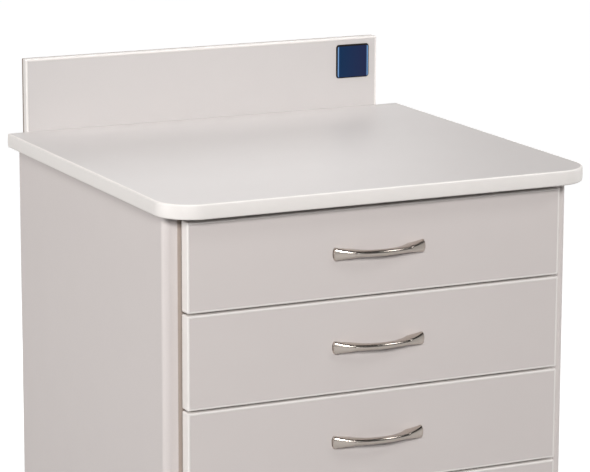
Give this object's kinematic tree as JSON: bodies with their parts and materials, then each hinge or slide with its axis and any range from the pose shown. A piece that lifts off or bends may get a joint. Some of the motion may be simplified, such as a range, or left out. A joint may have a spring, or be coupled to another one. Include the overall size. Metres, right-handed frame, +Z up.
{
  "type": "drawer cabinet",
  "caption": "Free-standing laminate cabinet for a dental or treatment room, with a worktop, rear splash board, stacked drawers on ball-bearing slides, bow handles and levelling feet.",
  "frame": {"origin": "on the floor, under the centre of the box round the whole cabinet", "axes": "+X to the right seen from the front, +Y to the rear, towards the wall, +Z up; the drawers open along -Y"},
  "size_m": [0.61, 0.581, 0.9906],
  "materials": {
    "laminate": "matte fine-textured taupe-grey laminate on particleboard",
    "edging": "satin plastic edge band, a little paler than the laminate",
    "carcass_board": "matte laminated particleboard",
    "drawer_board": "white matte laminated board",
    "satin_nickel": "satin nickel plate on a die-cast bar",
    "zinc_steel": "bright zinc-plated steel",
    "badge": "glossy dark blue resin plate, bare",
    "black_plastic": "black moulded plastic",
    "bumper": "clear soft stop"
  },
  "bodies": {
    "cabinet": {"worktop_board": "laminate", "worktop_edging": "edging", "splash_board": "laminate", "splash_edging": "edging", "badge_plate": "badge", "side_panel_right": "laminate", "side_panel_left": "laminate", "inner_side_right": "carcass_board", "inner_side_left": "carcass_board", "carcass_bottom": "carcass_board", "top_rail_front": "carcass_board", "top_rail_rear": "carcass_board", "back_panel": "carcass_board", "carcass_screws": "zinc_steel", "plinth_front": "laminate", "plinth_rear": "carcass_board", "plinth_sides": "laminate", "foot_sockets": "black_plastic", "slide_outer_right": "zinc_steel", "slide_outer_left": "zinc_steel", "drawer_bumpers": "bumper"},
    "foot_front_left": {"levelling_foot_front_left": "black_plastic"},
    "foot_front_right": {"levelling_foot_front_right": "black_plastic"},
    "foot_rear_left": {"levelling_foot_rear_left": "black_plastic"},
    "foot_rear_right": {"levelling_foot_rear_right": "black_plastic"},
    "drawer_1": {"drawer_front_1": "laminate", "drawer_edging_1": "edging", "drawer_handle_1": "satin_nickel", "drawer_box_1": "drawer_board", "drawer_screws_1": "zinc_steel", "slide_inner_1": "zinc_steel"},
    "middle_slides_1": {"slide_middle_1": "zinc_steel"},
    "drawer_2": {"drawer_front_2": "laminate", "drawer_edging_2": "edging", "drawer_handle_2": "satin_nickel", "drawer_box_2": "drawer_board", "drawer_screws_2": "zinc_steel", "slide_inner_2": "zinc_steel"},
    "middle_slides_2": {"slide_middle_2": "zinc_steel"},
    "drawer_3": {"drawer_front_3": "laminate", "drawer_edging_3": "edging", "drawer_handle_3": "satin_nickel", "drawer_box_3": "drawer_board", "drawer_screws_3": "zinc_steel", "slide_inner_3": "zinc_steel"},
    "middle_slides_3": {"slide_middle_3": "zinc_steel"},
    "drawer_4": {"drawer_front_4": "laminate", "drawer_edging_4": "edging", "drawer_handle_4": "satin_nickel", "drawer_box_4": "drawer_board", "drawer_screws_4": "zinc_steel", "slide_inner_4": "zinc_steel"},
    "middle_slides_4": {"slide_middle_4": "zinc_steel"},
    "drawer_5": {"drawer_front_5": "laminate", "drawer_edging_5": "edging", "drawer_handle_5": "satin_nickel", "drawer_box_5": "drawer_board", "drawer_screws_5": "zinc_steel", "slide_inner_5": "zinc_steel"},
    "middle_slides_5": {"slide_middle_5": "zinc_steel"}
  },
  "joints": [
    {"name": "drawer_1_slide", "type": "slide", "parent": "cabinet", "child": "drawer_1", "axis": [0, -1, 0], "range_m": [0, 0.5]},
    {"name": "middle_1_slide", "type": "slide", "parent": "cabinet", "child": "middle_slides_1", "axis": [0, -1, 0], "range_m": [0, 0.25]},
    {"name": "drawer_2_slide", "type": "slide", "parent": "cabinet", "child": "drawer_2", "axis": [0, -1, 0], "range_m": [0, 0.5]},
    {"name": "middle_2_slide", "type": "slide", "parent": "cabinet", "child": "middle_slides_2", "axis": [0, -1, 0], "range_m": [0, 0.25]},
    {"name": "drawer_3_slide", "type": "slide", "parent": "cabinet", "child": "drawer_3", "axis": [0, -1, 0], "range_m": [0, 0.5]},
    {"name": "middle_3_slide", "type": "slide", "parent": "cabinet", "child": "middle_slides_3", "axis": [0, -1, 0], "range_m": [0, 0.25]},
    {"name": "drawer_4_slide", "type": "slide", "parent": "cabinet", "child": "drawer_4", "axis": [0, -1, 0], "range_m": [0, 0.5]},
    {"name": "middle_4_slide", "type": "slide", "parent": "cabinet", "child": "middle_slides_4", "axis": [0, -1, 0], "range_m": [0, 0.25]},
    {"name": "drawer_5_slide", "type": "slide", "parent": "cabinet", "child": "drawer_5", "axis": [0, -1, 0], "range_m": [0, 0.5]},
    {"name": "middle_5_slide", "type": "slide", "parent": "cabinet", "child": "middle_slides_5", "axis": [0, -1, 0], "range_m": [0, 0.25]},
    {"name": "foot_front_left_level", "type": "slide", "parent": "cabinet", "child": "foot_front_left", "axis": [0, 0, 1], "range_m": [-0.015, 0.007]},
    {"name": "foot_front_right_level", "type": "slide", "parent": "cabinet", "child": "foot_front_right", "axis": [0, 0, 1], "range_m": [-0.015, 0.007]},
    {"name": "foot_rear_left_level", "type": "slide", "parent": "cabinet", "child": "foot_rear_left", "axis": [0, 0, 1], "range_m": [-0.015, 0.007]},
    {"name": "foot_rear_right_level", "type": "slide", "parent": "cabinet", "child": "foot_rear_right", "axis": [0, 0, 1], "range_m": [-0.015, 0.007]}
  ],
  "couplings": [
    {"joint": "middle_1_slide", "follows": "drawer_1_slide", "ratio": 0.5},
    {"joint": "middle_2_slide", "follows": "drawer_2_slide", "ratio": 0.5},
    {"joint": "middle_3_slide", "follows": "drawer_3_slide", "ratio": 0.5},
    {"joint": "middle_4_slide", "follows": "drawer_4_slide", "ratio": 0.5},
    {"joint": "middle_5_slide", "follows": "drawer_5_slide", "ratio": 0.5}
  ]
}
